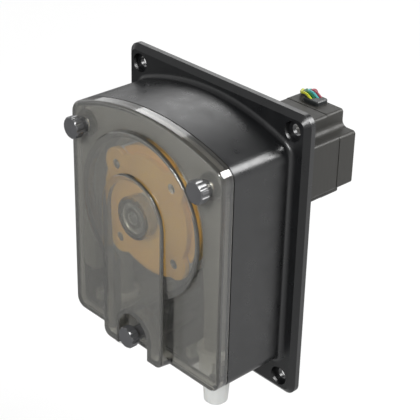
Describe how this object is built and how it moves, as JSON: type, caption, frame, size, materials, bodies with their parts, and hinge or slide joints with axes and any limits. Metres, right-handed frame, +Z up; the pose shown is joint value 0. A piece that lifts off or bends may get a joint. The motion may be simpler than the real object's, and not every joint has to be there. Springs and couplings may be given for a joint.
{
  "type": "peristaltic pump head",
  "caption": "Panel-mounted peristaltic pump head with a clear smoked cover, roller rotor, squeezed tube, thumbscrews and a square stepper motor behind.",
  "frame": {"origin": "centre of the bolt pattern on the gasket face that seats on the panel", "axes": "+Z up, +Y backwards through the panel towards the motor, +X to the right seen from the front"},
  "size_m": [0.146, 0.1671, 0.1811],
  "materials": {
    "smoke_cover": "clear smoke-grey moulded plastic",
    "casing_plastic": "fine satin dark grey",
    "track_plastic": "smooth dark grey",
    "rotor_plastic": "smooth orange",
    "roller_plastic": "smooth off-white",
    "bush_bronze": "sintered bronze",
    "knob_plastic": "polished black",
    "steel": "turned",
    "bearing_steel": "ground",
    "brass_insert": "turned",
    "black_rubber": "moulded",
    "tube_rubber": "translucent cream tube",
    "connector_plastic": "natural white",
    "motor_aluminium": "dark anodised casting",
    "motor_laminations": "black oxide stack",
    "plate_aluminium": "machined",
    "screw_steel": "black oxide",
    "block_plastic": "smooth dark grey",
    "lead_yellow_green": "smooth",
    "lead_green": "smooth",
    "lead_cyan": "smooth",
    "lead_red": "smooth"
  },
  "bodies": {
    "housing": {"casing": "casing_plastic", "track": "track_plastic", "connector_seat_left": "track_plastic", "connector_seat_right": "track_plastic", "panel_gasket": "black_rubber", "shaft_seal": "black_rubber", "threaded_inserts": "brass_insert", "rear_bearing_outer": "bearing_steel", "pump_tube": "tube_rubber", "tube_connector_left": "connector_plastic", "tube_connector_right": "connector_plastic", "motor_plate": "plate_aluminium", "motor_front_bell": "motor_aluminium", "motor_rear_bell": "motor_aluminium", "motor_stator": "motor_laminations", "motor_screws": "screw_steel", "motor_mount_screws": "screw_steel", "lead_block": "block_plastic", "lead_yellow": "lead_yellow_green", "lead_green": "lead_green", "lead_cyan": "lead_cyan", "lead_red": "lead_red", "lead_hank": "lead_green"},
    "cover": {"front_cover": "smoke_cover", "cover_seal": "black_rubber", "front_bearing_outer": "bearing_steel"},
    "front_race": {"front_bearing_inner": "bearing_steel"},
    "rotor": {"rotor_rear_plate": "rotor_plastic", "rotor_front_plate": "rotor_plastic", "rotor_hub": "rotor_plastic", "rotor_screws": "steel", "roller_pins": "steel", "drive_shaft": "steel", "motor_shaft": "steel", "rear_bearing_inner": "bearing_steel"},
    "roller_1_body": {"roller_1": "roller_plastic", "roller_bushes_1": "bush_bronze"},
    "roller_2_body": {"roller_2": "roller_plastic", "roller_bushes_2": "bush_bronze"},
    "roller_3_body": {"roller_3": "roller_plastic", "roller_bushes_3": "bush_bronze"},
    "roller_4_body": {"roller_4": "roller_plastic", "roller_bushes_4": "bush_bronze"},
    "washer_top_left": {"thumbscrew_washer_top_left": "steel"},
    "thumbscrew_top_left": {"thumbscrew_head_top_left": "knob_plastic", "thumbscrew_stud_top_left": "steel"},
    "washer_top_right": {"thumbscrew_washer_top_right": "steel"},
    "thumbscrew_top_right": {"thumbscrew_head_top_right": "knob_plastic", "thumbscrew_stud_top_right": "steel"},
    "washer_foot": {"thumbscrew_washer_foot": "steel"},
    "thumbscrew_foot": {"thumbscrew_head_foot": "knob_plastic", "thumbscrew_stud_foot": "steel"}
  },
  "joints": [
    {"name": "cover_lift_off", "type": "slide", "parent": "housing", "child": "cover", "axis": [0, -1, 0], "range_m": [0, 0.06]},
    {"name": "rotor_spin", "type": "hinge", "parent": "housing", "child": "rotor", "pos_m": [0, 0, 0.021], "axis": [0, -1, 0], "continuous": true},
    {"name": "front_race_spin", "type": "hinge", "parent": "cover", "child": "front_race", "pos_m": [0, -0.0599, 0.021], "axis": [0, -1, 0], "continuous": true},
    {"name": "roller_1_spin", "type": "hinge", "parent": "rotor", "child": "roller_1_body", "pos_m": [0.02161, -0.0372, 0.045], "axis": [0, -1, 0], "continuous": true},
    {"name": "roller_2_spin", "type": "hinge", "parent": "rotor", "child": "roller_2_body", "pos_m": [-0.024, -0.0372, 0.04261], "axis": [0, -1, 0], "continuous": true},
    {"name": "roller_3_spin", "type": "hinge", "parent": "rotor", "child": "roller_3_body", "pos_m": [-0.02161, -0.0372, -0.003], "axis": [0, -1, 0], "continuous": true},
    {"name": "roller_4_spin", "type": "hinge", "parent": "rotor", "child": "roller_4_body", "pos_m": [0.024, -0.0372, -0.00061], "axis": [0, -1, 0], "continuous": true},
    {"name": "top_left_screw_out", "type": "slide", "parent": "cover", "child": "washer_top_left", "axis": [0, -1, 0], "range_m": [0, 0.0063]},
    {"name": "top_left_turn", "type": "hinge", "parent": "washer_top_left", "child": "thumbscrew_top_left", "pos_m": [-0.0513, -0.062, 0.0581], "axis": [0, -1, 0], "range_deg": [0, 3240]},
    {"name": "top_right_screw_out", "type": "slide", "parent": "cover", "child": "washer_top_right", "axis": [0, -1, 0], "range_m": [0, 0.0063]},
    {"name": "top_right_turn", "type": "hinge", "parent": "washer_top_right", "child": "thumbscrew_top_right", "pos_m": [0.0513, -0.062, 0.0581], "axis": [0, -1, 0], "range_deg": [0, 3240]},
    {"name": "foot_screw_out", "type": "slide", "parent": "cover", "child": "washer_foot", "axis": [0, -1, 0], "range_m": [0, 0.0063]},
    {"name": "foot_turn", "type": "hinge", "parent": "washer_foot", "child": "thumbscrew_foot", "pos_m": [0, -0.062, -0.0554], "axis": [0, -1, 0], "range_deg": [0, 3240]}
  ],
  "couplings": [
    {"joint": "front_race_spin", "follows": "rotor_spin", "ratio": 1},
    {"joint": "roller_1_spin", "follows": "rotor_spin", "ratio": -4.7558},
    {"joint": "roller_2_spin", "follows": "rotor_spin", "ratio": -4.7558},
    {"joint": "roller_3_spin", "follows": "rotor_spin", "ratio": -4.7558},
    {"joint": "roller_4_spin", "follows": "rotor_spin", "ratio": -4.7558},
    {"joint": "top_left_turn", "follows": "top_left_screw_out", "rad_per_m": 8976},
    {"joint": "top_right_turn", "follows": "top_right_screw_out", "rad_per_m": 8976},
    {"joint": "foot_turn", "follows": "foot_screw_out", "rad_per_m": 8976}
  ]
}
